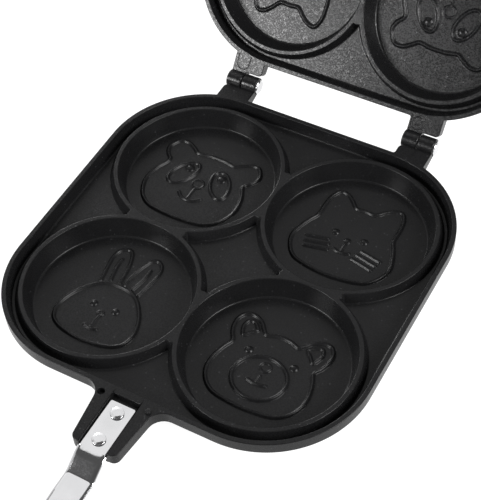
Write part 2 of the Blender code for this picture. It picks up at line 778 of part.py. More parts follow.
def build():
    meshes = {"shank": shank_mesh(), "rivet": rivet_mesh(), "screw": screw_mesh(), "insert": insert_mesh()}
    lid_grip = grip_mesh("lid_grip", False)
    # The origin lies under the middle of the whole open pan
    plate_y = (bail_reach() - lid_reach(lid_grip)) / 2
    lower = new_frame("lower_half", (0, plate_y, REST_HEIGHT - LAND_CLEARANCE))
    place_half("lower", lower, (0, 0, 0), meshes, plate_mesh(LOWER_FLOOR_WALL), grip_mesh("lower_grip", True))
    axis_place = (0, plate_y + HINGE_Y, REST_HEIGHT)
    tilt = new_frame("lid_tilt", axis_place, (math.radians(-OPEN_ANGLE), 0, 0))
    flipped = new_frame("lid_half", (0, 0, 0), (0, math.pi, 0), tilt)
    lid_origin = (0, -HINGE_Y, -LAND_CLEARANCE)
    place_half("lid", flipped, lid_origin, meshes, plate_mesh(LID_FLOOR_WALL), lid_grip)
    pin = pin_mesh()
    for name, side in (("left", -1), ("right", 1)):
        place_part("hinge_pin_" + name, pin, steel, lower, (side * HINGE_SPREAD, HINGE_Y, LAND_CLEARANCE))
    pivot = new_frame("bail_pivot", (0, BAIL_Y, TANG_MIDDLE), None, lower)
    place_part("lock_bail", bail_mesh(), steel, pivot, (0, 0, 0))


clear_scene()
pan = new_collection("pancake_pan")
cutters = new_collection("cutters")
black_coat = new_material("black_coat", BLACK_COAT, 0.42, 0.0)
steel = new_material("bright_steel", BRIGHT_STEEL, 0.18, 1.0)
grip_black = new_material("grip_black", GRIP_BLACK, 0.35, 0.0)
brass = new_material("insert_brass", INSERT_BRASS, 0.35, 1.0)
build()
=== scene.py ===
import math
import bmesh
import bpy
import numpy as np
from mathutils import Matrix, Vector


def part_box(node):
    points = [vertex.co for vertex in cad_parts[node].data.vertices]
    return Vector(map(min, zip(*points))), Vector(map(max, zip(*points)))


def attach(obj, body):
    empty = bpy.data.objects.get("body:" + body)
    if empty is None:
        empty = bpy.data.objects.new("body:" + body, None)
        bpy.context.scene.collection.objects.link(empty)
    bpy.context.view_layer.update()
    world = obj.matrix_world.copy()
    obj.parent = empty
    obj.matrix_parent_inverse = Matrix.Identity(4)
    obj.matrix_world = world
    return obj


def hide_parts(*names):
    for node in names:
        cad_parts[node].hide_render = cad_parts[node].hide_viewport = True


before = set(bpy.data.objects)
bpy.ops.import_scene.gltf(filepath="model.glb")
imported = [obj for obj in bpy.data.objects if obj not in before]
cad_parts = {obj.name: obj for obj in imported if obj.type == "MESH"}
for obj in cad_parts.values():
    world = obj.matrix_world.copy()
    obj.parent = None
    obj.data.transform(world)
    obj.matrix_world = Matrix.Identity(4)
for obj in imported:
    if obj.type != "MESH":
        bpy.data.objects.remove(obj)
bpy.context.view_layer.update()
scene = bpy.context.scene

# Everything is worked out in millimetres in a half's own frame (X across, Y towards the hinge,
# Z up out of the cups, rim at Z = 0) and then placed in the scene, which is in metres.
metre = 1000
plate = {
    "halfPitch": 49.2,  # a cup's centre from the middle of the pan
    "half": 108.7,  # outer side of the rim
    "cornerRadius": 59.5,
    "skirt": 7.8,
    "web": 7.9,  # depth of the low ground round the cups
    "webUnder": 10.4,
    "tongueTip": 143.0,
}
hinge = {"y": 122.2, "lift": 0.15, "spread": 59.0, "angle": -127.5}
restHeight = {"rim": 17.7, "axis": 17.85}
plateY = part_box("lower_plate")[0][1] * metre + plate["tongueTip"]
overrun = 1.0  # how far a cutter stands out of what it cuts
halves = ("lower", "lid")
sides = ((-1, "Left"), (1, "Right"))


def placeLower(points):
    # millimetres in the casting's frame to metres on the table
    return (points + np.array((0, plateY, restHeight["rim"]))) / metre


def placeLid(points):
    # turned over about Y, then opened about the hinge's line
    turn = math.radians(hinge["angle"])
    y = points[:, 1] - hinge["y"]
    z = hinge["lift"] - points[:, 2]
    back = plateY + hinge["y"] + y * math.cos(turn) - z * math.sin(turn)
    up = restHeight["axis"] + y * math.sin(turn) + z * math.cos(turn)
    return np.column_stack((-points[:, 0], back, up)) / metre


class Wire:
    # a node's output that can stand in a sum
    def __init__(self, tree, socket):
        self.tree, self.socket = tree, socket

    def maths(self, operation, first, second):
        return self.tree.node("Math", {"operation": operation}, {0: first, 1: second})

    def __add__(self, other):
        return self.maths("ADD", self, other)

    def __mul__(self, other):
        return self.maths("MULTIPLY", self, other)

    def __pow__(self, other):
        return self.maths("POWER", self, other)

    def __gt__(self, other):
        return self.maths("GREATER_THAN", self, other)

    __radd__ = __add__
    __rmul__ = __mul__


class NodeTree:
    # the nodes of a material or of the sky, all added by a single method
    def __init__(self, owner):
        owner.use_nodes = True
        self.owner = owner
        self.nodes, self.links = owner.node_tree.nodes, owner.node_tree.links

    def node(self, kind, settings, sockets, output=0):
        made = self.nodes.new("ShaderNode" + kind)
        for key, value in settings.items():
            if key == "stops":
                ramp = made.color_ramp.elements
                while len(ramp) < len(value):
                    ramp.new(1.0)
                for stop, (position, shade) in zip(ramp, value):
                    stop.position = position
                    stop.color = (shade, shade, shade, 1)
            else:
                setattr(made, key, value)
        self.fill(made, sockets)
        return Wire(self, made.outputs[output])

    def fill(self, made, sockets):
        for key, value in sockets.items():
            if isinstance(value, Wire):
                self.links.new(value.socket, made.inputs[key])
            else:
                made.inputs[key].default_value = value


class Finish(NodeTree):
    # one material
    def __init__(self, name):
        super().__init__(bpy.data.materials.new(name))
        self.place = self.node("TexCoord", {}, {}, "Object")

    def noise(self, scale, detail=2.0, roughness=0.5, place=None):
        return self.node("TexNoise", {}, {
            "Vector": place or self.place, "Scale": scale, "Detail": detail, "Roughness": roughness}, "Fac")

    def blend(self, mask, first, second):
        # a colour between two others
        return self.node("Mix", {"data_type": "RGBA"}, {0: mask, 6: first, 7: second}, 2)

    def bump(self, height, distance, strength=1.0, **before):
        return self.node("Bump", {}, {
            "Height": height, "Distance": distance, "Strength": strength, **before})

    def set(self, **sockets):
        shader = self.nodes["Principled BSDF"]
        self.fill(shader, {key.replace("_", " "): value for key, value in sockets.items()})
        return self.owner


# In the finishes a noise is its scale per metre, its detail and its roughness, and a bump its
# height in metres and its strength.
coat = {
    "dark": (0.0056, 0.0056, 0.0058, 1), "light": (0.0090, 0.0090, 0.0095, 1), "clouds": (60.0, 3.0),
    "roughness": 0.19, "roughest": 0.34, "cloudRoughness": 0.04, "ior": 1.25,
    "grain": (1400.0, 2.0, 0.6), "grainBump": (0.000022,),
    "fleck": (0.045, 0.045, 0.047, 1), "fleckScale": 1750.0, "fleckShare": 0.996, "fleckMetal": 0.3,
    "cellBump": (0.00001,), "glint": 0.10, "lidPaintedSheen": 0.80, "glintPower": 4.0, "glintRoughness": 0.24,
    "lidHeight": 0.0185,  # the lid stands above this height, and its coat gets a stronger glint there: a painted sheen for how the key lamp falls on the lid, not a different spray
}


def blackCoat():
    # satin non-stick coat: sprayed cells, each glossy or dull, some of which glint where a lamp is mirrored,
    # and a few are metal flecks;
    # on the lid the glint layer is raised, a painted sheen, though the coat is the same on both halves
    finish = Finish("blackCoat")
    clouds, grain = finish.noise(*coat["clouds"]), finish.noise(*coat["grain"])
    cells = finish.node("TexVoronoi", {}, {
        "Vector": finish.place, "Scale": coat["fleckScale"]}, "Color")
    pick = finish.node("SeparateColor", {}, {"Color": cells}, 0)
    fleck = pick > coat["fleckShare"]
    body = finish.blend(clouds, coat["dark"], coat["light"])
    lid = finish.node("SeparateXYZ", {}, {"Vector": finish.place}, 2) > coat["lidHeight"]
    dull = pick * (coat["roughest"] - coat["roughness"])
    return finish.set(
        Base_Color=finish.blend(fleck, body, coat["fleck"]), Metallic=fleck * coat["fleckMetal"],
        Roughness=coat["roughness"] + dull + clouds * coat["cloudRoughness"],
        # painted sheen: above lidHeight the same coat is given a much stronger glint layer
        Coat_Weight=pick ** coat["glintPower"] * (lid * coat["lidPaintedSheen"] + coat["glint"]),
        Coat_Roughness=coat["glintRoughness"], IOR=coat["ior"],
        Normal=finish.bump(pick, *coat["cellBump"], Normal=finish.bump(grain, *coat["grainBump"])))


steel = {
    "colour": (0.80, 0.80, 0.81, 1), "worn": (0.66, 0.66, 0.67, 1), "roughness": 0.05,
    "stretch": (1600.0, 30.0, 30.0), "lines": (1.0, 3.0), "lineRoughness": 0.03,
    "clouds": (90.0, 2.0), "cloudRoughness": 0.04, "cloudBump": (0.00020, 0.6),
    "specks": (700.0, 5.0, 0.7), "speckPower": 2.0, "speckRoughness": 0.12,
}


def brightSteel():
    # polished strap: long faint drawing lines, slightly cloudy, with duller specks
    finish = Finish("brightSteel")
    stretched = finish.node("Mapping", {}, {"Vector": finish.place, "Scale": steel["stretch"]})
    lines = finish.noise(*steel["lines"], place=stretched)
    clouds = finish.noise(*steel["clouds"])
    specks = finish.noise(*steel["specks"]) ** steel["speckPower"]
    rough = steel["roughness"] + lines * steel["lineRoughness"]
    rough = rough + clouds * steel["cloudRoughness"] + specks * steel["speckRoughness"]
    return finish.set(
        Base_Color=finish.blend(clouds, steel["colour"], steel["worn"]), Metallic=1.0,
        Roughness=rough, Normal=finish.bump(clouds, *steel["cloudBump"]))


moulding = {
    "dark": (0.009, 0.009, 0.010, 1), "light": (0.014, 0.014, 0.015, 1), "roughness": 0.3, "ior": 1.42,
    "grain": (3200.0, 2.0), "grainBump": (0.00002, 0.7), "worn": (45.0, 3.0), "wornRoughness": 0.16,
}


def mouldedBlack():
    # heat-proof moulding: soft gloss with a fine matt grain and hand-worn patches
    finish = Finish("mouldedBlack")
    grain, worn = finish.noise(*moulding["grain"]), finish.noise(*moulding["worn"])
    return finish.set(
        Base_Color=finish.blend(worn, moulding["dark"], moulding["light"]),
        Roughness=moulding["roughness"] + worn * moulding["wornRoughness"],
        Normal=finish.bump(grain, *moulding["grainBump"]), IOR=moulding["ior"])


brass = {
    "colour": (0.62, 0.43, 0.16, 1), "bright": (0.75, 0.56, 0.25, 1), "roughness": 0.28,
    "rings": (900.0, 2.0), "ringRoughness": 0.12, "ringBump": (0.00004, 0.5),
}


def turnedBrass():
    # brass with the fine marks of turning
    finish = Finish("turnedBrass")
    rings = finish.noise(*brass["rings"])
    return finish.set(
        Base_Color=finish.blend(rings, brass["colour"], brass["bright"]), Metallic=1.0,
        Roughness=brass["roughness"] + rings * brass["ringRoughness"],
        Normal=finish.bump(rings, *brass["ringBump"]))


finishes = {
    "black_coat": blackCoat(), "bright_steel": brightSteel(),
    "grip_black": mouldedBlack(), "insert_brass": turnedBrass(),
}
print("finishes made")


def unit(vectors):
    # each vector over its length
    return vectors / np.maximum(np.linalg.norm(vectors, axis=-1, keepdims=True), 1e-12)


def roundedPath(corners, steps=5, hold=0.08):
    # corners are (x, y, radius): straight runs joined by arcs, with a point held close to both ends
    # of each arc
    points = []
    for index, (x, y, radius) in enumerate(corners):
        here = np.array((x, y), float)
        if radius <= 0 or index in (0, len(corners) - 1):
            points.append(here)
            continue
        back = unit(np.array(corners[index - 1][:2], float) - here)
        on = unit(np.array(corners[index + 1][:2], float) - here)
        half = math.acos(max(-1.0, min(1.0, float(back @ on)))) / 2
        run = radius / math.tan(half)
        centre = here + unit(back + on) * radius / math.sin(half)
        first, last = here + back * run - centre, here + on * run - centre
        sweep = math.atan2(first[0] * last[1] - first[1] * last[0], float(first @ last))
        if hold:
            points.append(here + back * (run + hold))
        for turn in np.linspace(0, sweep, steps + 1):
            c, s = math.cos(turn), math.sin(turn)
            points.append(centre + np.array((first[0] * c - first[1] * s, first[0] * s + first[1] * c)))
        if hold:
            points.append(here + on * (run + hold))
    return np.array(points)


def around(count):
    # evenly spaced angles of a full turn
    return np.linspace(0, 2 * np.pi, count, endpoint=False)


def atHeight(line, height):
    # flat points raised to one height, or each to its own
    return np.column_stack((line, np.broadcast_to(height, len(line))))


def quads(rows, columns, loopRows=False, loopColumns=False, start=0):
    # faces of a grid of points, which may close on itself in either direction
    r = np.arange(rows if loopRows else rows - 1)
    c = np.arange(columns if loopColumns else columns - 1)
    r, c = np.meshgrid(r, c, indexing="ij")
    rNext, cNext = (r + 1) % rows, (c + 1) % columns
    corners = (r * columns + c, r * columns + cNext, rNext * columns + cNext, rNext * columns + c)
    return np.stack(corners, -1).reshape(-1, 4) + start


def fan(ring, centre):
    # triangles from a loop of points to one point
    return np.column_stack((ring, np.roll(ring, -1), np.full(len(ring), centre)))


def capped(rows, count):
    # faces of closed rows of points, one after another, with a fan at each end whose two middle
    # points follow the rows
    first, last = np.arange(count), np.arange(count) + (rows - 1) * count
    return [quads(rows, count, loopColumns=True), fan(first, rows * count), fan(last, rows * count + 1)]


def shellMesh(name, points, faces, merge=2e-6):
    # a closed shell: doubles merged first, then every face turned outwards
    mesh = bpy.data.meshes.new(name)
    mesh.from_pydata(points.tolist(), [], [face for part in faces for face in part.tolist()])
    bm = bmesh.new()
    bm.from_mesh(mesh)
    bmesh.ops.remove_doubles(bm, verts=bm.verts, dist=merge)
    bmesh.ops.recalc_face_normals(bm, faces=bm.faces)
    if bm.calc_volume(signed=True) < 0:
        bmesh.ops.reverse_faces(bm, faces=bm.faces)
    loose = sum(1 for edge in bm.edges if len(edge.link_faces) != 2)
    if loose:
        print("  ", name, "has", loose, "open edges")
    bm.to_mesh(mesh)
    bm.free()
    return mesh


def addObject(name, data):
    item = bpy.data.objects.new(name, data)
    scene.collection.objects.link(item)
    return item


def cutAway(mesh, cutters):
    # takes closed meshes out of a closed mesh
    base = addObject("base", mesh)
    tools = [addObject("tool", cutter) for cutter in cutters]
    for tool in tools:
        cut = base.modifiers.new("cut", "BOOLEAN")
        cut.operation = "DIFFERENCE"
        cut.solver = "MANIFOLD"
        cut.object = tool
    graph = bpy.context.evaluated_depsgraph_get()
    done = bpy.data.meshes.new_from_object(base.evaluated_get(graph))
    for item in [base] + tools:
        bpy.data.objects.remove(item, do_unlink=True)
    return done


def addPiece(name, shape, body, slot, nodes=(), cutters=(), sharp=38):
    # places a shape of (points, faces), closes it, cuts it and adds it to its body
    place = placeLid if body == "lid" else placeLower
    mesh = shellMesh(name, place(shape[0]), shape[1])
    if cutters:
        mesh = cutAway(mesh, [shellMesh("cutter", place(points), faces) for points, faces in cutters])
    mesh.shade_smooth()
    mesh.set_sharp_from_angle(angle=math.radians(sharp))
    mesh.materials.clear()
    mesh.materials.append(finishes[slot])
    piece = addObject(name, mesh)
    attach(piece, body)
    if nodes:
        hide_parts(*nodes)
    return piece


def turned(profile, segments, spot=(0, 0, 0), across=False):
    # a profile of (radius, height) carried round Z, or round X, and moved to a spot; its two ends
    # lie on the axis
    profile = np.array(profile, float)
    angles = around(segments)
    radius, height = profile[1:-1, 0], profile[1:-1, 1]
    ring = np.stack((radius[:, None] * np.cos(angles), radius[:, None] * np.sin(angles),
                     height[:, None] + 0 * angles), -1).reshape(-1, 3)
    points = np.vstack((ring, (0, 0, profile[0, 1]), (0, 0, profile[-1, 1])))
    if across:
        points = points[:, (2, 0, 1)]
    return points + spot, capped(len(radius), segments)


def wireSection(radius, count):
    # a round section
    angles = around(count)
    return np.column_stack((np.cos(angles), np.sin(angles))) * radius


def swept(path, sections):
    # closed sections of (side, up) points, one for each point of an open path or one for all, with
    # flat ends
    path = np.array(path, float)
    ahead = unit(np.gradient(path, axis=0))
    side = unit(np.cross(ahead, np.array((0.0, 0.0, 1.0))))
    rise = np.cross(side, ahead)
    sections = np.broadcast_to(sections, (len(path),) + sections.shape[-2:])
    rows = path[:, None] + sections[..., :1] * side[:, None] + sections[..., 1:] * rise[:, None]
    return np.vstack((rows.reshape(-1, 3), path[0], path[-1])), capped(len(path), sections.shape[1])


cup = {
    "ridge": -2.1, "bottom": -14.5,  # heights of the ridge's top and of the floor
    "mouth": 48.0, "floor": 44.6, "floorFillet": 1.2, "mouthRound": 0.55,
    "landEdge": 50.5, "slopeFoot": 52.9, "landRound": 0.5, "slopeFillet": 0.8,
    "wall": 2.5, "footInset": 0.3, "footFillet": 1.5, "underFillet": 0.6,
    "under": {"lower": 17.7, "lid": 16.5},
    "discRadius": 43.6, "discDepth": 0.3, "discGap": 0.12, "discLap": 0.05, "sunk": 0.35,
}
tray = {
    "inset": 4.0,  # how far inside the outline it ends, hidden in the rim
    "lift": 0.01,  # keeps its underside off the rim's
    "rings": (54.4, 55.4, 57.0, 59.0, 61.5, 64.0, 67.0, 70.0, 75.5),  # radii past the ridge
    "underRings": (52.5, 56.0, 60.0, 65.0, 70.0, 75.5),
    "turnStep": 2.25, "near": (20.2, 25.2, 0.22),  # degrees, and the finer steps at the junctions
}
# where two cups meet, their ridges join over this length and then drop to the web
junction = {
    "halfLength": 18.9, "run": 1.5, "round": 0.3, "tiltFillet": 0.4, "from": 38, "meet": 1.2,
    "nowhere": -99.0,
}


def softMax(a, b, width):
    # the larger of two heights, eased over a width
    ease = np.maximum(width - np.abs(a - b), 0) / width
    return np.maximum(a, b) + ease * ease * width / 4


def cupTop():
    # (radius, height) from the sunk floor under the disc, up the wall, over the ridge, down to the web
    floor, ridge, web = cup["bottom"], cup["ridge"], -plate["web"]
    rounded = roundedPath([
        (0, floor, 0), (cup["floor"], floor, cup["floorFillet"]),
        (cup["mouth"], ridge, cup["mouthRound"]), (cup["landEdge"], ridge, cup["landRound"]),
        (cup["slopeFoot"], web, cup["slopeFillet"]), (tray["rings"][0], web, 0)], steps=6)
    rounded = rounded[rounded[:, 0] > cup["discRadius"] - cup["discLap"]]
    low = floor - cup["sunk"]
    sunk = [(0, low), (cup["discRadius"] - cup["discGap"], low)]
    return np.vstack((sunk, rounded, [(r, web) for r in tray["rings"][1:]]))


def cupUnder(depth):
    # the same from below: flat foot, rounded up into the cup's outer wall, and the web's underside
    level = -plate["webUnder"] + tray["lift"]
    slant = (cup["mouth"] - cup["floor"]) / (cup["ridge"] - cup["bottom"])
    top = cup["mouth"] - slant * (cup["ridge"] - level) + cup["wall"]
    foot = cup["floor"] + cup["wall"] - cup["footInset"]
    rounded = roundedPath([
        (0, -depth, 0), (foot, -depth, cup["footFillet"]), (top, level, cup["underFillet"]),
        (tray["underRings"][0], level, 0)])
    return np.vstack((rounded, [(r, level) for r in tray["underRings"][1:]]))


def trayShell(depth):
    # one cup in polar steps, stopped at the middle lines and under the rim, then mirrored to all four
    middle, side = plate["halfPitch"], plate["cornerRadius"] - tray["inset"]
    corner = math.degrees(math.atan2(middle, side))
    near = np.arange(*tray["near"])
    turns = [np.arange(0, 360, tray["turnStep"]), [-corner, 90 + corner]]
    for direction in (180, 270):
        turns += [direction + near, direction - near]
    turns = np.unique(np.round(np.concatenate(turns) % 360, 3))
    c, s = np.cos(np.radians(turns)), np.sin(np.radians(turns))
    far = np.full(len(turns), np.inf)
    for part, reach in ((c, side), (-c, middle), (s, side), (-s, middle)):
        far = np.where(part > 1e-9, np.minimum(far, reach / np.maximum(part, 1e-9)), far)
    far = np.where((c >= -1e-9) & (s >= -1e-9), side, far)

    def surface(profile, withJunction):
        radius = np.minimum(profile[:, :1], far[None])
        u, v = radius * c, radius * s
        height = np.interp(radius, profile[:, 0], profile[:, 1])
        if withJunction:
            flat = np.full_like(u, junction["nowhere"])
            drop = plate["web"] + cup["ridge"]
            for across, along in ((u, v), (v, u)):
                slope = (junction["halfLength"] - np.abs(along)) * drop / junction["run"]
                slope = -softMax(-slope, np.zeros_like(slope), junction["round"]) + cup["ridge"]
                flat = np.maximum(flat, np.where(across < -junction["from"], slope, junction["nowhere"]))
            joined = np.minimum(softMax(height, flat, junction["tiltFillet"]), cup["ridge"])
            height = np.where(radius > cup["landEdge"] - junction["meet"], joined, height)
        return np.stack((u, v, height), -1)

    top, under = surface(cupTop(), True), surface(cupUnder(depth), False)
    count = len(turns)
    outer = np.where((turns <= 90 + corner + 0.01) | (turns >= 360 - corner - 0.01))[0]
    outer = outer[np.argsort((turns[outer] + 180) % 360)]
    shell = np.vstack((top.reshape(-1, 3), under.reshape(-1, 3)))
    topEdge, underEdge = outer + (len(top) - 1) * count, outer + (len(top) + len(under) - 1) * count
    strip = np.column_stack((topEdge[:-1], topEdge[1:], underEdge[1:], underEdge[:-1]))
    faces = [quads(len(top), count, loopColumns=True),
             quads(len(under), count, loopColumns=True, start=len(top) * count), strip]
    points, allFaces = [], []
    for right in (-1, 1):
        for rear in (-1, 1):
            allFaces += [part + len(points) * len(shell) for part in faces]
            points.append(shell * (right, rear, 1) + (right * middle, rear * middle, 0))
    return np.vstack(points), allFaces


for half in halves:
    addPiece(half + "Tray", trayShell(cup["under"][half]), half, "black_coat", [half + "_plate"])
print("trays made")

# The floors of the cups, each with its raised line face. The tables are shares of the size.
relief = {
    "size": 30.0, "bead": 1.4, "beadHalfWidth": 1.25,  # rounded line: height, and where it meets the floor
    "thinnest": 0.4, "beadPower": 1.1, "domePower": 0.8,
    "head": 1.0, "middle": 0.8, "stem": 0.6, "pair": 0.9,  # weights of the kinds of line
    "grid": 281, "middleShare": 0.82,  # the grid is this much closer in the middle of a floor
}
headLines = {
    "panda": (
        (0, -1.067), (0.32, -1.053), (0.62, -0.993), (0.85, -0.817), (0.983, -0.55), (1.007, -0.317),
        (0.953, -0.05), (0.843, 0.22), (0.967, 0.377), (1.027, 0.533), (0.977, 0.687), (0.877, 0.8),
        (0.71, 0.8), (0.543, 0.713), (0.41, 0.633), (0.18, 0.667), (0, 0.67)),
    "cat": (
        (0, -1.027), (0.25, -1.013), (0.517, -0.97), (0.75, -0.887), (0.917, -0.7), (1.013, -0.433),
        (0.967, -0.183), (0.883, 0.053), (0.79, 0.257), (0.787, 0.497), (0.773, 0.717), (0.723, 0.887),
        (0.633, 0.983), (0.483, 0.953), (0.34, 0.84), (0.2, 0.71), (0, 0.717)),
    "rabbit": (
        (0, -1.077), (0.233, -1.063), (0.433, -1.027), (0.61, -0.96), (0.743, -0.847), (0.81, -0.667),
        (0.797, -0.46), (0.717, -0.233), (0.593, -0.033), (0.45, 0.127), (0.25, 0.245), (0, 0.277)),
    "bear": (
        (0, -1.047), (0.233, -1.033), (0.467, -1.007), (0.667, -0.94), (0.843, -0.787), (0.943, -0.593),
        (0.963, -0.393), (0.937, -0.2), (0.887, -0.027), (0.817, 0.153), (0.91, 0.327), (0.96, 0.5),
        (0.95, 0.667), (0.85, 0.807), (0.683, 0.82), (0.523, 0.737), (0.407, 0.603), (0.32, 0.533),
        (0.16, 0.583), (0, 0.6)),
}
middleLines = {  # drawn on the right and mirrored into one line
    "panda": ((0.245, -0.443), (0.14, -0.533), (0, -0.567)),
    "cat": ((0.16, -0.383), (0.08, -0.413), (0, -0.42)),
    "rabbit": ((0.125, -0.763), (0, -0.783)),
    "bear": ((0.18, -0.463), (0.06, -0.49), (0, -0.493)),
}
stems = {
    "panda": ((0, -0.52), (0, -0.26)), "cat": ((0, -0.4), (0, -0.22)),
    "rabbit": ((0, -0.5), (0, -0.74)), "bear": ((0, -0.31), (0, -0.47)),
}
pairedLines = {  # drawn on the right and repeated on the left
    "cat": [((0.35, -0.223), (0.763, -0.307)), ((0.3, -0.343), (0.73, -0.437)),
            ((0.26, -0.467), (0.69, -0.56))],
    "rabbit": [
        ((0.052, 0.33), (0.067, 0.52), (0.1, 0.743), (0.157, 0.937), (0.227, 1.07),
         (0.34, 1.107), (0.46, 1.02), (0.503, 0.85), (0.483, 0.653), (0.443, 0.433), (0.413, 0.245)),
        ((0.245, 0.325), (0.283, 0.49), (0.315, 0.68), (0.315, 0.85))],
}
closedLines = {  # the insides of the ears, drawn on the right and repeated on the left
    "bear": [((0.7, 0.35), (0.765, 0.45), (0.785, 0.57), (0.745, 0.68), (0.65, 0.69),
              (0.56, 0.62), (0.51, 0.545), (0.6, 0.45))],
}
ovals = {  # closed: centre, half width and height, turn in degrees, weight of the line
    "panda": [((0.41, 0.045), (0.195, 0.36), 28, 0.9), ((0, -0.11), (0.12, 0.115), 0, 0.35)],
    "rabbit": [((0, -0.417), (0.06, 0.055), 0, 0.4)],
    "bear": [((0, -0.357), (0.507, 0.46), 0, 1), ((0, -0.11), (0.1, 0.095), 0, 0.4)],
}
domes = {  # eyes and a nose: centre, radius and height in millimetres
    "panda": [((0.36, 0.205), 2.9, 1.3)],
    "cat": [((0.3, 0.01), 2.2, 1.15), ((0, -0.11), 2.1, 0.9)],
    "rabbit": [((0.233, -0.265), 2.2, 1.15)],
    "bear": [((0.455, 0.11), 2.4, 1.25)],
}


def smoothLine(points, closed, steps=6):
    # each span is a cubic whose slope at a point is half the step between that point's neighbours
    points = np.array(points, float)
    if closed:
        before, here, after, beyond = (np.roll(points, shift, 0) for shift in (1, 0, -1, -2))
    else:
        ends = np.vstack((2 * points[0] - points[1], points, 2 * points[-1] - points[-2]))
        before, here, after, beyond = ends[:-3], ends[1:-2], ends[2:-1], ends[3:]
    t = np.linspace(0, 1, steps, endpoint=False)[None, :, None]
    before, here, after, beyond = (part[:, None] for part in (before, here, after, beyond))
    line = 0.5 * (2 * here + (after - before) * t
                  + (2 * before - 5 * here + 4 * after - beyond) * t ** 2
                  + (3 * here - before - 3 * after + beyond) * t ** 3)
    return np.vstack((line.reshape(-1, 2), points[:1] if closed else points[-1:]))


def distanceTo(x, y, line):
    # least distance from every grid point to a line of short straight steps
    least = np.full(x.shape, np.inf)
    for (ax, ay), (bx, by) in zip(line[:-1], line[1:]):
        dx, dy = bx - ax, by - ay
        along = np.clip(((x - ax) * dx + (y - ay) * dy) / max(dx * dx + dy * dy, 1e-9), 0, 1)
        least = np.minimum(least, np.hypot(x - ax - along * dx, y - ay - along * dy))
    return least


def mirrored(points):
    return [(-x, y) for x, y in points]


def bothSides(points):
    # a line that ends on the middle, and its mirror image, as one line
    return mirrored(points) + list(reversed(points))[1:]


def oval(centre, half, turn, sign):
    # cosine along and sine across, turned about the centre, on the right or on the left
    (cx, cy), (rx, ry), a = centre, half, math.radians(turn) * sign
    t = around(40)
    along, across = rx * np.cos(t), ry * np.sin(t)
    x = sign * cx + along * math.cos(a) - across * math.sin(a)
    return np.column_stack((x, cy + along * math.sin(a) + across * math.cos(a)))


def faceHeights(kind, x, y):
    # lines: bead * weight * (1 - (distance / half width)^2)^beadPower
    # domes: height * (1 - (distance / radius)^2)^domePower
    lines = [(bothSides(headLines[kind])[:-1], True, relief["head"]),
             (bothSides(middleLines[kind]), False, relief["middle"]),
             (stems[kind], False, relief["stem"])]
    for table, closed in ((pairedLines, False), (closedLines, True)):
        for line in table.get(kind, []):
            lines += [(line, closed, relief["pair"]), (mirrored(line), closed, relief["pair"])]
    for centre, half, turn, weight in ovals.get(kind, []):
        for sign in (-1, 1) if centre[0] else (1,):
            lines.append((oval(centre, half, turn, sign), True, weight))
    height = np.zeros(x.shape)
    for line, closed, weight in lines:
        away = distanceTo(x, y, smoothLine(np.array(line, float) * relief["size"], closed))
        halfWidth = relief["beadHalfWidth"] * (relief["thinnest"] + (1 - relief["thinnest"]) * weight)
        share = np.clip(away / halfWidth, 0, 1)
        height = np.maximum(height, relief["bead"] * weight * (1 - share ** 2) ** relief["beadPower"])
    for (cx, cy), radius, rise in domes[kind]:
        away = np.hypot(np.abs(x) - cx * relief["size"], y - cy * relief["size"]) / radius
        height = np.maximum(height, rise * np.clip(1 - away ** 2, 0, 1) ** relief["domePower"])
    return height


def floorDisc(kind):
    # a square grid bent onto a disc: x = a sqrt(1 - b^2 / 2), y = b sqrt(1 - a^2 / 2)
    count, radius = relief["grid"], cup["discRadius"]
    steps = np.linspace(-1, 1, count)
    steps = steps * (relief["middleShare"] + (1 - relief["middleShare"]) * steps ** 2)
    a, b = np.meshgrid(steps, steps, indexing="ij")
    x, y = a * np.sqrt(1 - b * b / 2) * radius, b * np.sqrt(1 - a * a / 2) * radius
    top = np.stack((x, y, faceHeights(kind, x, y) + cup["bottom"]), -1).reshape(-1, 3)
    index = np.arange(count * count).reshape(count, count)
    loop = np.concatenate((index[:-1, 0], index[-1, :-1], index[:0:-1, -1], index[0, :0:-1]))
    low = top[loop] - (0, 0, cup["discDepth"])
    points = np.vstack((top, low, (0, 0, cup["bottom"] - cup["discDepth"])))
    lowIndex = np.arange(len(loop)) + len(top)
    side = np.column_stack((loop, np.roll(loop, -1), np.roll(lowIndex, -1), lowIndex))
    return points, [quads(count, count), side, fan(lowIndex, len(points) - 1)]


cups = {"panda": (-1, 1), "cat": (1, 1), "rabbit": (-1, -1), "bear": (1, -1)}
for kind, (right, rear) in cups.items():
    points, faces = floorDisc(kind)
    points = points + (right * plate["halfPitch"], rear * plate["halfPitch"], 0)
    for half in halves:
        addPiece(half + kind.capitalize() + "Floor", (points, faces), half, "black_coat", sharp=60)
print("cup floors made")

# The rim is one section carried round the outline, out round the hinge lugs and the tongue.
rim = {
    "land": 2.7, "foot": 4.5, "footFillet": 1.0, "topRound": 0.45, "lowRound": 0.8,
    "inside": 6.4, "insideSink": 0.02, "underInside": 6.6,  # where it ends over and under the tray
    "floorTop": 1.3, "floorLow": 3.4,  # how far inside the outline the tray's floor hangs below
    "floorRound": 0.3, "floorFillet": 0.9,
    "lugHalf": 10.0, "split": 0.3, "shortLug": 116.3, "lugSlope": 111.7, "lugUnder": 4.55,
    "splitFillet": 0.8, "lugRound": 2.4, "lugFillet": 1.2, "lugRun": 6, "lugSink": 3,
    "tongueRun": 36, "tongueRoot": 17.2, "tongueEnd": 13.4, "neck": 9.0, "tipRound": 4.0,
    "slotHalf": 8.2, "slotEnd": 110.1, "slotFloor": 3.4, "slotRound": 0.3, "slotCorner": 0.5,
}


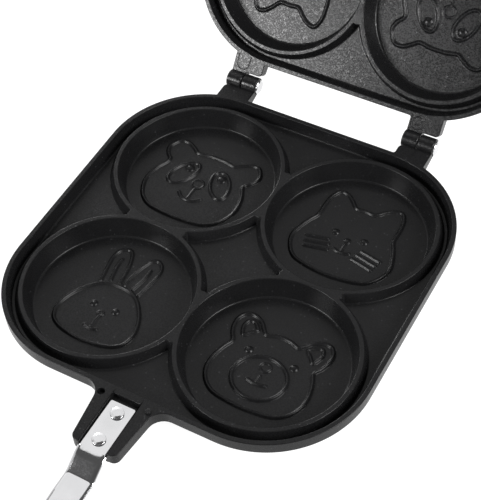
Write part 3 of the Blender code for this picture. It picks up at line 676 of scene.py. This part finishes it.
def rimOutline():
    # outer points, the points of the plain rounded square they belong to, those points' outward
    # directions, and 1 where the lower edge is rounded (0 in the slot)
    half, radius, centre = plate["half"], plate["cornerRadius"], plate["halfPitch"]
    turn = math.degrees(math.acos((hinge["spread"] + rim["lugHalf"] - centre) / radius))
    parts = []

    def arc(cx, cy, start, end):
        # about a point for each degree
        angle = np.radians(np.arange(start, end + 0.01, (end - start) / max(2, round(end - start))))
        away = np.column_stack((np.cos(angle), np.sin(angle)))
        base = away * radius + (cx, cy)
        parts.append((base, base, away, np.ones(len(base))))

    def run(line, rear, lowRound):
        # line's points belong to the straight edge or the corner arc that has the same X
        over = np.maximum(np.abs(line[:, 0]) - centre, 0)
        lift = np.sqrt(radius ** 2 - over ** 2)
        away = np.column_stack((np.sign(line[:, 0]) * over, lift * rear)) / radius
        base = np.column_stack((line[:, 0], (centre + lift) * rear))
        parts.append((line, base, away, lowRound))

    def lug(middle):
        left, right, split = middle - rim["lugHalf"], middle + rim["lugHalf"], middle + rim["split"]
        end, short = hinge["y"], rim["shortLug"]
        corners = [(right, end, 0), (split, end, 0), (split, short, rim["splitFillet"]),
                   (left, short, rim["lugRound"])]
        sunk, fillet, away = half - rim["lugSink"], rim["lugFillet"], rim["lugRun"]
        if middle > 0:
            corners = [(right, sunk, 0)] + corners + [(left, half, fillet), (left - away, half, 0)]
        else:
            corners = [(right + away, half, 0), (right, half, fillet)] + corners + [(left, sunk, 0)]
        line = roundedPath(corners, hold=0)
        run(line, 1, np.ones(len(line)))

    arc(centre, centre, 0, turn)
    lug(hinge["spread"])
    lug(-hinge["spread"])
    arc(-centre, centre, 180 - turn, 180)
    arc(-centre, -centre, 180, 270)
    tip = -plate["tongueTip"]
    slotHalf, slotEnd = rim["slotHalf"], -rim["slotEnd"]
    line = roundedPath([
        (-rim["tongueRun"], -half, 0), (-rim["tongueRoot"], -half, rim["neck"]),
        (-rim["tongueEnd"], tip, rim["tipRound"]), (-slotHalf, tip, rim["slotRound"]),
        (-slotHalf, slotEnd, rim["slotCorner"]), (0, slotEnd, 0)], steps=7, hold=0)
    line = np.vstack((line, (line * (-1, 1))[-2::-1]))
    inSlot = (np.abs(line[:, 0]) < slotHalf + 0.05) & (line[:, 1] > tip - 0.2)
    run(line, -1, np.where(inSlot, 0.0, 1.0))
    arc(centre, -centre, 270, 360)
    outer, base, away, lowRound = (np.concatenate([part[index] for part in parts]) for index in range(4))
    step = np.linalg.norm(outer - np.roll(outer, 1, 0), axis=1) > 1e-4
    return outer[step], base[step], away[step], lowRound[step]


def inwards(line, distance):
    # each point moved along its two edges' bisector, so that both edges shift by the distance
    before = unit(line - np.roll(line, 1, 0))
    after = unit(np.roll(line, -1, 0) - line)
    left = np.column_stack((-before[:, 1], before[:, 0]))
    bisector = unit(left + np.column_stack((-after[:, 1], after[:, 0])))
    share = np.maximum((bisector * left).sum(1), 0.5)
    return line + bisector * (np.broadcast_to(distance, len(line)) / share)[:, None]


def rimShell():
    # rows of points in the order of the section: inner foot, inner wall, land, outer wall, underside
    outer, base, away, lowRound = rimOutline()
    skirt, web, webUnder = -plate["skirt"], -plate["web"], -plate["webUnder"]
    inner = roundedPath([
        (rim["inside"], web - rim["insideSink"], 0), (rim["foot"], web, rim["footFillet"]),
        (rim["land"], 0, rim["topRound"]), (0, 0, 0)], steps=6)[:-1]
    rows = [atHeight(base - away * inset, height) for inset, height in inner]
    edge = roundedPath([(rim["land"], 0, 0), (0, 0, rim["topRound"]), (0, skirt, 0)], steps=6)[1:-1]
    rows += [atHeight(inwards(outer, inset), height) for inset, height in edge]
    low = roundedPath([(0, 0, 0), (0, skirt, rim["lowRound"]), (rim["land"], skirt, 0)])[1:-1]
    slope = (plate["skirt"] - rim["lugUnder"]) / (hinge["y"] - rim["lugSlope"])
    for inset, height in low:
        spot = inwards(outer, inset * lowRound)
        rows.append(atHeight(spot, height + np.maximum(spot[:, 1] - rim["lugSlope"], 0) * slope))
    flat = rows[-1].copy()
    flat[:, 1] = np.minimum(flat[:, 1], rim["lugSlope"])
    flat[:, 2] = skirt
    under = roundedPath([
        (0, skirt, 0), (rim["floorTop"], skirt, rim["floorRound"]),
        (rim["floorLow"], webUnder, rim["floorFillet"]), (rim["underInside"], webUnder, 0)])[1:]
    rows += [flat] + [atHeight(base - away * inset, height) for inset, height in under]
    return np.vstack(rows), [quads(len(rows), len(outer), loopRows=True, loopColumns=True)]


knuckle = {"radius": 5.35, "round": 0.6, "bore": 2.3, "boreRound": 0.3, "boreRun": 2}
pin = {
    "radius": 2.0, "round": 0.3, "head": 4.3, "gap": 0.03, "rise": 1.3, "side": 0.5, "crown": 0.6,
    "headRound": (0.2, 0.3, 0.9),
}
peg = {"x": 14.2, "y": -112.4, "radius": 1.8, "top": 1.4, "round": 0.3, "hole": 2.1, "depth": 2.6}


def knuckleTube(start, end):
    # a ring section turned round the hinge's line
    bore, radius = knuckle["bore"], knuckle["radius"]
    section = roundedPath([
        (start + knuckle["boreRun"], bore, 0), (start, bore, knuckle["boreRound"]),
        (start, radius, knuckle["round"]), (end, radius, knuckle["round"]),
        (end, bore, knuckle["boreRound"]), (end - knuckle["boreRun"], bore, 0)], steps=4)
    angles = around(64)
    along, away = section[:, :1], section[:, 1:]
    y, z = away * np.cos(angles) + hinge["y"], away * np.sin(angles) + hinge["lift"]
    ring = np.stack((along + 0 * angles, y, z), -1)
    return ring.reshape(-1, 3), [quads(len(section), 64, loopRows=True, loopColumns=True)]


def pinShell(middle):
    # the pin's plain end, its shank and its spread head, turned round the hinge's line
    start, end = middle - rim["lugHalf"], middle + rim["lugHalf"] + pin["gap"]
    head, top, rounds = pin["head"], end + pin["rise"], pin["headRound"]
    profile = roundedPath([
        (0, start, 0), (pin["radius"], start, pin["round"]), (pin["radius"], end, 0),
        (head, end, rounds[0]), (head, end + pin["side"], rounds[1]),
        (head - pin["crown"], top, rounds[2]), (0, top, 0)], steps=4)
    return turned(profile, 48, (0, hinge["y"], hinge["lift"]), across=True)


def block(low, high, radius, steps=3):
    # a box with its upright and level edges rounded: a rounded outline drawn in at the top and the
    # bottom, with wider corners, so that the rows that are drawn in keep theirs
    (x0, y0, z0), (x1, y1, z1) = low, high
    wide, hold, x, y = radius * 1.4, radius * 0.3, (x0 + x1) / 2, (y0 + y1) / 2
    outline = roundedPath([
        (x, y0, 0), (x1, y0, wide), (x1, y1, wide), (x0, y1, wide), (x0, y0, wide), (x, y0, 0)],
        steps=steps, hold=hold)[:-1]
    section = roundedPath([
        (x1 - x0, z0, 0), (0, z0, radius), (0, z1, radius), (x1 - x0, z1, 0)], steps=steps, hold=hold)[1:-1]
    rows = [atHeight(inwards(outline, inset), height) for inset, height in section]
    return np.vstack(rows + [(x, y, z0), (x, y, z1)]), capped(len(rows), len(outline))


# fine raised outlines on the lid's lugs: middle, half width and far end of each, and a ring on one
lugMark = {
    "wire": 0.45, "lift": -0.25, "start": 106.2, "bend": 0.98,
    "loops": ((62.8, 4.1, 115.0), (-54.2, 4.2, 115.4)), "ring": (-53.9, 110.4, 2.5),
}


def lugMarks():
    # a round wire, mostly sunk in the lug's face, bent to a U for each lug and to a ring
    section = wireSection(lugMark["wire"], 12)
    points, faces, count = [], [], 0
    for middle, half, end in lugMark["loops"]:
        start, bend = lugMark["start"], half * lugMark["bend"]
        line = roundedPath([(middle - half, start, 0), (middle - half, end, bend),
                            (middle + half, end, bend), (middle + half, start, 0)], steps=9, hold=0)
        wire, parts = swept(atHeight(line, lugMark["lift"]), section)
        points.append(wire)
        faces += [part + count for part in parts]
        count += len(wire)
    x, y, radius = lugMark["ring"]
    turn = around(36)[:, None]
    away = radius + section[None, :, 0]
    height = lugMark["lift"] + section[None, :, 1] + 0 * turn
    points.append(np.stack((x + away * np.cos(turn), y + away * np.sin(turn), height), -1).reshape(-1, 3))
    return np.vstack(points), faces + [quads(36, 12, loopRows=True, loopColumns=True, start=count)]


# what the strap lies on, let a little into the slot's walls
seat = {"under": 0.4, "tipGap": 0.02, "lift": 0.01, "round": 0.2}
rimShape = rimShell()
seatShape = block(
    (-rim["slotHalf"] - seat["under"], -plate["tongueTip"] + seat["tipGap"], -plate["skirt"] + seat["lift"]),
    (rim["slotHalf"] + seat["under"], -rim["slotEnd"] + seat["under"], -rim["slotFloor"]), seat["round"])
pegShape = turned(roundedPath([
    (0, peg["top"], 0), (peg["radius"] - peg["round"], peg["top"], peg["round"]),
    (peg["radius"], -overrun, 0), (0, -overrun, 0)]), 48, (peg["x"], peg["y"], 0))
holeShape = turned([
    (0, overrun), (peg["hole"], overrun), (peg["hole"], -peg["depth"]), (0, -peg["depth"])], 48,
    (-peg["x"], peg["y"], 0))
for half in halves:
    addPiece(half + "Rim", rimShape, half, "black_coat", cutters=[holeShape])
    addPiece(half + "StrapSeat", seatShape, half, "black_coat")
    addPiece(half + "Peg", pegShape, half, "black_coat")
    for side, word in sides:
        middle = side * hinge["spread"]
        tube = knuckleTube(middle + rim["split"], middle + rim["lugHalf"])
        addPiece(half + "Knuckle" + word, tube, half, "black_coat")
addPiece("lidLugMarks", lugMarks(), "lid", "black_coat")
for side, word in sides:
    addPiece("hingePin" + word, pinShell(side * hinge["spread"]), "lower", "bright_steel",
             ["hinge_pin_" + word.lower()])
print("rims, hinge knuckles and pins made")

# The handle: steel strap, rivets, screws and moulded grip.
strap = {
    "tabHalf": 7.7, "halfWidth": 8.7, "shoulder": (-143.29, -143.91), "tabCorner": 1.0,
    "thick": 1.6, "edge": 0.35, "step": 4,
    "crown": 1.0, "crownShare": 0.70,  # past the shoulders the top falls away to its edges
    "across": (0.35, 0.70, 0.76, 0.82, 0.87, 0.91),  # points of the top, as shares of the half width
    # distance along, height of the top, radius of the bend
    "line": ((-113.6, -1.5, 0), (-145.4, -1.5, 15), (-156.6, -8.0, 4), (-168.1, -8.0, 4),
             (-176.1, -8.6, 4), (-276.2, -8.6, 0)),
}


def strapShell():
    # the strap's middle line in side view, with round bends, and a thin rounded section across it,
    # whose half width starts at the tab's, with its end corners rounded, and eases out at the shoulders
    side = roundedPath([(y, z - strap["thick"] / 2, bend) for y, z, bend in strap["line"]], steps=9, hold=0)
    start, corner, (near, far) = side[0, 0], strap["tabCorner"], strap["shoulder"]
    stops = start - corner * (1 - np.cos(np.linspace(0, np.pi / 2, 7)))
    stops = np.concatenate((stops, np.linspace(near, far, 7)))
    dense = [side[0]]
    for first, second in zip(side[:-1], side[1:]):
        parts = max(1, round(np.linalg.norm(second - first) / strap["step"]))
        shares = np.arange(1, parts + 1) / parts
        held = (stops - first[0]) / min(second[0] - first[0], -1e-9)
        shares = np.unique(np.concatenate((shares, held[(held > 0.001) & (held < 0.999)])))
        dense += [first + (second - first) * share for share in shares]
    dense = np.array(dense)
    ease = np.clip((near - dense[:, 0]) / (near - far), 0, 1)
    half = strap["tabHalf"] + (strap["halfWidth"] - strap["tabHalf"]) * ease * ease * (3 - 2 * ease)
    into = np.clip(1 - (start - dense[:, 0]) / corner, 0, 1)
    half = half - corner * (1 - np.sqrt(1 - into ** 2))
    h, t, edge = strap["halfWidth"], strap["thick"] / 2, strap["edge"]
    right = roundedPath([(0, t, 0), (h, t, edge), (h, -t, edge), (0, -t, 0)], steps=3, hold=0)
    right = np.vstack((right[:1], [(h * share, t) for share in strap["across"]], right[1:]))
    section = np.vstack((right, (right * (-1, 1))[-2:0:-1]))
    # height lost by the top: crown * (distance past its flat middle, as a share of the rest) ^ 2
    past = (np.abs(section[:, 0]) / h - strap["crownShare"]) / (1 - strap["crownShare"])
    fall = strap["crown"] * np.clip(past, 0, 1) ** 2 * (section[:, 1] > 0)
    wide = section[None, :, 0] * (half / h)[:, None]
    high = section[None, :, 1] - fall[None] * ease[:, None]
    return swept(np.column_stack((np.zeros(len(dense)), dense)), np.stack((wide, high), -1))


rivet = {
    "y": (-119.607, -136.895), "headRadius": 3.7, "radius": 2.0,
    # the head: share of its radius, height and radius of the bend
    "cap": ((0, -0.15, 0), (0.55, -0.2, 3), (1, -0.6, 0.15), (1, -1.5, 0)),
    "under": -8.2, "tailShare": 0.95, "tailEdge": -8.22, "tail": (0.9, -8.6, 1.3),
}
screw = {
    "y": (-207.8, -262.08), "headRadius": 3.72, "headHeight": 2.1, "headRound": 0.25,
    "radius": 1.9, "tipRound": 0.2, "top": -0.8, "reach": 11.8,
    "slotHalf": (5, 0.5), "slotDepth": 0.8, "slotRound": 0.05,
}


def rivetShell(y):
    # a low domed head, the shank through the strap and the tongue, and a flatter spread tail
    head, radius, (share, low, rise) = rivet["headRadius"], rivet["radius"], rivet["tail"]
    cap = roundedPath([(head * part, z, bend) for part, z, bend in rivet["cap"]])
    profile = cap.tolist() + [(radius, rivet["cap"][-1][1]), (radius, rivet["under"])]
    profile.append((head * rivet["tailShare"], rivet["tailEdge"]))
    tail = np.radians(np.linspace(0, 90, 8))
    profile += [(head * share * math.cos(a), low - rise * math.sin(a)) for a in tail]
    return turned(profile, 48, (0, y, 0))


def screwShell(y):
    # a countersunk head and a plain shank
    head, radius, reach = screw["headRadius"], screw["radius"], -screw["reach"]
    profile = roundedPath([
        (0, 0, 0), (head, 0, screw["headRound"]), (radius, -screw["headHeight"], 0),
        (radius, reach, screw["tipRound"]), (0, reach, 0)], steps=3)
    return turned(profile, 48, (0, y, screw["top"]))


for half in halves:
    addPiece(half + "Strap", strapShell(), half, "bright_steel", [half + "_shank"])
    for y, word in zip(rivet["y"], ("inner", "outer")):
        addPiece(half + "Rivet" + word.capitalize(), rivetShell(y), half, "bright_steel",
                 [half + "_rivet_" + word])
    for y, word in zip(screw["y"], ("front", "rear")):
        long, wide = screw["slotHalf"]
        drive = block((-long, y - wide, screw["top"] - screw["slotDepth"]), (long, y + wide, overrun),
                      screw["slotRound"], 1)
        addPiece(half + "Screw" + word.capitalize(), screwShell(y), half, "bright_steel",
                 [half + "_screw_" + word], [drive])
print("straps, rivets and screws made")

grip = {
    "front": -184.22, "length": 117.9, "halfWidth": 14.98, "top": -0.2, "low": -14.4,
    "rounding": 7.0, "topRound": 1.0,
    # share of the length, and of the half width
    "outline": ((0, 0.76), (0.1, 0.85), (0.22, 0.9), (0.36, 1), (0.48, 1), (0.62, 0.965), (0.78, 0.92),
                (0.9, 0.95), (0.975, 0.86), (1, 0.66)),
    # wider than the screw's head, down to where the plain bore takes over
    "well": ((0, 1), (4.5, 1), (4.5, -0.8), (2.2, -3.1), (2.2, -9.0), (0, -9.0)),
}
bail = {
    "y": -292.2, "z": -9.4, "legX": 16.7, "wire": 1.38, "reach": 25.78, "entry": 4.5,
    "pivotBend": 2.1, "corner": 4.0, "holeGap": 0.3, "hole": (11.9, 12),  # where it starts, its length
}
shoulder = {"x": (10.5, 18.1), "length": 5, "z": (-14.1, -11.1), "round": 0.7}


def gripShell():
    # the plan outline drawn in towards the middle, over the rounded top and bottom edges
    line = smoothLine(grip["outline"], False, 8)
    right = np.column_stack((line[:, 1] * grip["halfWidth"], grip["front"] - line[:, 0] * grip["length"]))
    x, y = np.vstack((right, (right * (-1, 1))[::-1])).T
    reach = grip["length"] / 2
    middle = grip["front"] - reach
    section = roundedPath([
        (reach, grip["low"], 0), (0, grip["low"], grip["rounding"]), (0, grip["top"], grip["topRound"]),
        (reach, grip["top"], 0)], steps=10)[1:-1]
    rows = []
    for inset, height in section:
        along = middle + (y - middle) * (1 - inset / reach)
        rows.append(np.column_stack((np.sign(x) * (np.abs(x) - inset), along, np.full(len(x), height))))
    lowRow, topRow = rows[0] * (0, 1, 1), rows[-1] * (0, 1, 1)
    return np.vstack([lowRow] + rows + [topRow]), [quads(len(rows) + 2, len(x), loopColumns=True)]


def bailShell():
    # a round wire in at one side of the grip, out round its end and in at the other side
    leg, tip = bail["legX"], bail["legX"] - bail["entry"]
    y, far = bail["y"], bail["y"] - bail["reach"]
    bend, corner = bail["pivotBend"], bail["corner"]
    line = roundedPath([
        (-tip, y, 0), (-leg, y, bend), (-leg, far, corner), (leg, far, corner), (leg, y, bend), (tip, y, 0)],
        steps=10, hold=0)
    return swept(atHeight(line, bail["z"]), wireSection(bail["wire"], 20))


for half in halves:
    cutters = [turned(grip["well"], 40, (0, y, 0)) for y in screw["y"]]
    if half == "lower":
        radius, (start, length) = bail["wire"] + bail["holeGap"], bail["hole"]
        points, faces = turned([(0, 0), (radius, 0), (radius, length), (0, length)], 32, across=True)
        cutters += [(points * (side, 1, 1) + (side * start, bail["y"], bail["z"]), faces) for side in (-1, 1)]
    addPiece(half + "Grip", gripShell(), half, "grip_black", [half + "_grip"], cutters)
for side, word in sides:
    (x0, x1), (z0, z1) = sorted(side * x for x in shoulder["x"]), shoulder["z"]
    shape = block((x0, bail["y"] - shoulder["length"], z0), (x1, bail["y"], z1), shoulder["round"])
    addPiece("bailShoulder" + word, shape, "lower", "grip_black")
addPiece("lockBail", bailShell(), "bail", "bright_steel", ["lock_bail"])
for name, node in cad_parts.items():
    if "insert" in name:
        node.data.materials.clear()
        node.data.materials.append(finishes["insert_brass"])
print("grips and bail made")

light = {
    "aim": (0, 0.05, 0.06),
    "sky": ((0.0, 0.85), (0.38, 0.75), (0.62, 0.08), (1.0, 0.10)),  # height of the direction, strength
    # the table glows, so that it stays white without a shadow
    "table": {"reach": 6.0, "colour": (0.22, 0.22, 0.22, 1), "roughness": 0.9, "glow": 0.97},
}
lamps = {
    "key": {"direction": (-0.54, -0.79, 0.38), "distance": 1.6, "size": 0.54, "power": 20.5},
    "back": {"direction": (-0.40, 0.45, 0.80), "distance": 2.0, "size": 2.2, "power": 14.0},
    "low": {"direction": (-0.75, 0.60, 0.28), "distance": 1.8, "size": 0.6, "power": 15.0},
    "side": {"direction": (0.82, -0.06, 0.57), "distance": 1.8, "size": 0.9, "power": 38.0},
}


def addTable(reach, colour, roughness, glow):
    # one flat square
    mesh = bpy.data.meshes.new("table")
    corners = [(-reach, -reach, 0), (reach, -reach, 0), (reach, reach, 0), (-reach, reach, 0)]
    mesh.from_pydata(corners, [], [(0, 1, 2, 3)])
    table = addObject("table", mesh)
    mesh.materials.append(Finish("tablePaint").set(
        Base_Color=colour, Roughness=roughness, Emission_Color=(1, 1, 1, 1), Emission_Strength=glow))


def addLight(name, direction, distance, size, power):
    # a square soft box that looks at the aim from a direction
    lamp = bpy.data.lights.new(name, "AREA")
    lamp.shape, lamp.size, lamp.energy = "SQUARE", size, power
    item = addObject(name, lamp)
    away = Vector(direction).normalized()
    item.location = Vector(light["aim"]) + away * distance
    item.rotation_euler = away.to_track_quat("Z", "Y").to_euler()


def addSky():
    # a plain studio: white walls that darken towards the ceiling
    world = bpy.data.worlds.new("studio")
    sky = NodeTree(world)
    direction = sky.node("TexCoord", {}, {}, "Generated")
    height = sky.node("SeparateXYZ", {}, {0: direction}, "Z")
    shade = sky.node("ValToRGB", {"stops": light["sky"]}, {0: height})
    sky.fill(sky.nodes["Background"], {0: shade})
    scene.world = world
    scene.view_settings.view_transform = "Standard"


view = {
    "azimuth": 31.943, "elevation": 50.046, "roll": -4.012, "distance": 0.765855,
    "lens": 98.94, "sensor": 36.0, "target": (3.378, 4.167, 15.6),
}


def addCamera():
    # looks at the target from its azimuth and elevation, then rolls
    az, el, roll = (math.radians(view[key]) for key in ("azimuth", "elevation", "roll"))
    back = Vector((math.sin(az) * math.cos(el), -math.cos(az) * math.cos(el), math.sin(el)))
    right = Vector((math.cos(az), math.sin(az), 0))
    up = back.cross(right)
    right, up = right * math.cos(roll) + up * math.sin(roll), up * math.cos(roll) - right * math.sin(roll)
    lens = bpy.data.cameras.new("camera")
    lens.lens, lens.sensor_fit, lens.sensor_height = view["lens"], "VERTICAL", view["sensor"]
    camera = addObject("camera", lens)
    x, y, z = view["target"]
    place = Vector((x, y + plateY, z)) / metre + back * view["distance"]
    turn = Matrix((right, up, back)).transposed().to_4x4()
    camera.matrix_world = Matrix.Translation(place) @ turn
    scene.camera = camera


addTable(**light["table"])
for name, lamp in lamps.items():
    addLight(name, **lamp)
addSky()
addCamera()
print("table, light and camera placed")
